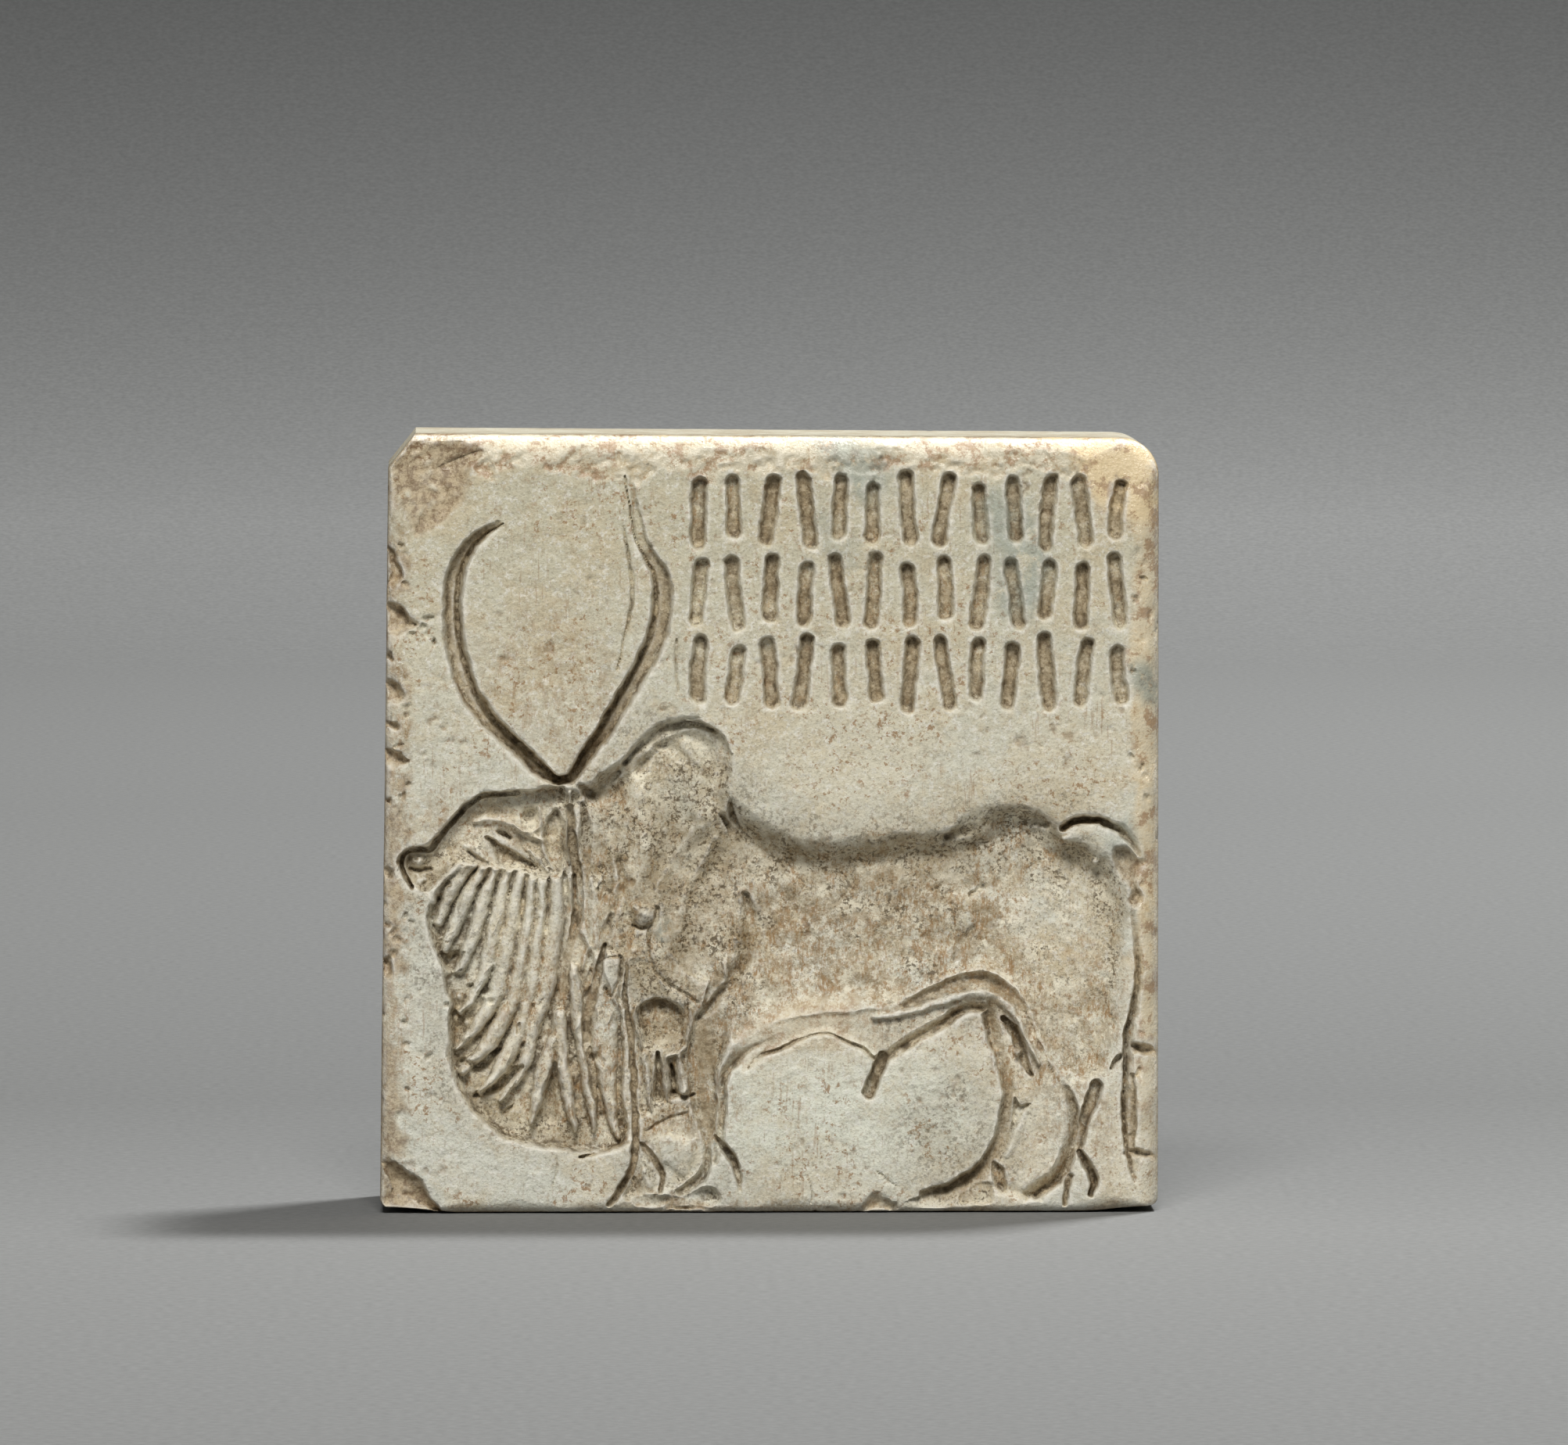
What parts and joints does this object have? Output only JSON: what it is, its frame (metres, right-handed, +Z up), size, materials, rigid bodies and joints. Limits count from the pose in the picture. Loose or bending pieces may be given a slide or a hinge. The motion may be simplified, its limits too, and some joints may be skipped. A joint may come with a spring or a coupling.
{
  "type": "stamp seal",
  "caption": "Square stone stamp seal with a humped bull and rows of strokes sunk into its face and a pierced boss on its back.",
  "frame": {"origin": "on the ground, midway along the lower edge and midway between the sealing face and the crest of the boss", "axes": "+Z up from the lower edge to the upper one, -Y out of the sealing face, +X to the right of one who looks at the face"},
  "size_m": [0.032, 0.0167, 0.032],
  "materials": {
    "soapstone": "matte"
  },
  "bodies": {
    "root": {"stamp_seal": "soapstone"}
  },
  "joints": []
}
